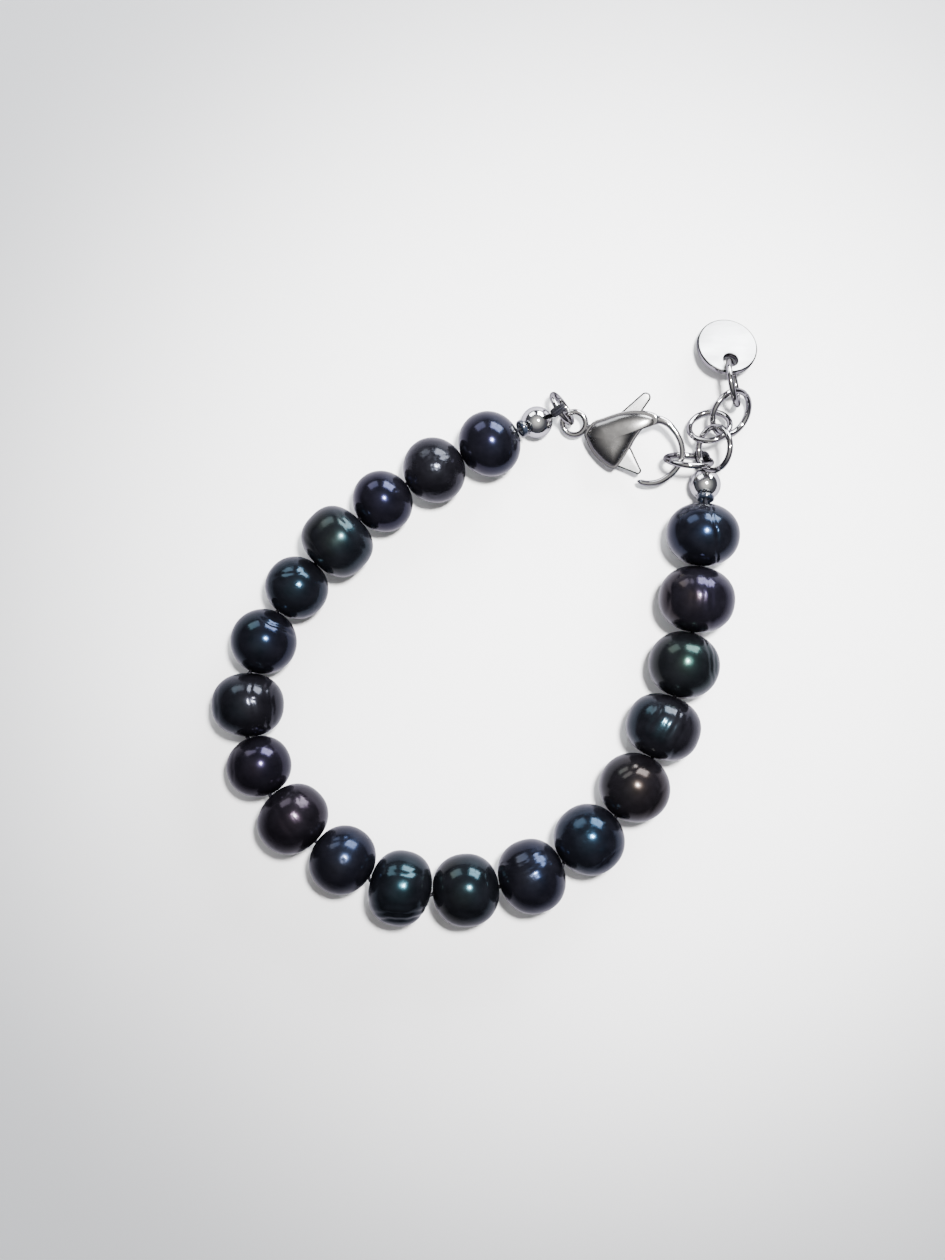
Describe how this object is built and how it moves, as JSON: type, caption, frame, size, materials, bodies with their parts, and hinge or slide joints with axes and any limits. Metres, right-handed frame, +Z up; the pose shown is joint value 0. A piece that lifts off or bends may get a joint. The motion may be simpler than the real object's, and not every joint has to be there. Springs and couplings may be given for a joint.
{
  "type": "pearl bracelet",
  "caption": "Bracelet of dark, near-round drilled pearls on a black thread, lying in a loop with its sprung lobster clasp hooked into a short chain that ends in a round tag.",
  "frame": {"origin": "on the surface that the bracelet lies on, under the middle of its bounding box", "axes": "+Z up from that surface, +Y towards the clasp, the end chain and the tag, +X towards the end of the string that carries the chain"},
  "size_m": [0.0684, 0.0762, 0.0095],
  "materials": {
    "pearl": "polished dark nacre",
    "polished_steel": "polished",
    "satin_steel": "satin with polished edges",
    "black_gloss": "gloss",
    "black_thread": "twisted thread"
  },
  "bodies": {
    "bracelet": {"pearl_01": "pearl", "pearl_02": "pearl", "pearl_03": "pearl", "pearl_04": "pearl", "pearl_05": "pearl", "pearl_06": "pearl", "pearl_07": "pearl", "pearl_08": "pearl", "pearl_09": "pearl", "pearl_10": "pearl", "pearl_11": "pearl", "pearl_12": "pearl", "pearl_13": "pearl", "pearl_14": "pearl", "pearl_15": "pearl", "pearl_16": "pearl", "pearl_17": "pearl", "pearl_18": "pearl", "pearl_19": "pearl", "silver_bead_clasp": "polished_steel", "silver_bead_chain": "polished_steel", "clasp_ring": "polished_steel", "chain_ring_1": "polished_steel", "chain_ring_2": "polished_steel", "chain_ring_3": "polished_steel", "chain_ring_4": "polished_steel", "chain_ring_5": "polished_steel", "clasp_pin": "polished_steel", "tag": "polished_steel", "spacer_bead_clasp": "black_gloss", "spacer_bead_chain": "black_gloss", "clasp_body": "satin_steel", "thread": "black_thread"},
    "trigger": {"clasp_trigger": "polished_steel"}
  },
  "joints": [
    {"name": "trigger_pivot", "type": "hinge", "parent": "bracelet", "child": "trigger", "pos_m": [0.01514, 0.02261, 0.00196], "axis": [-0.1832, -0.1481, 0.9719], "range_deg": [0, 25], "stiffness_Nm_per_rad": 0.004, "springref_deg": -20.05}
  ]
}
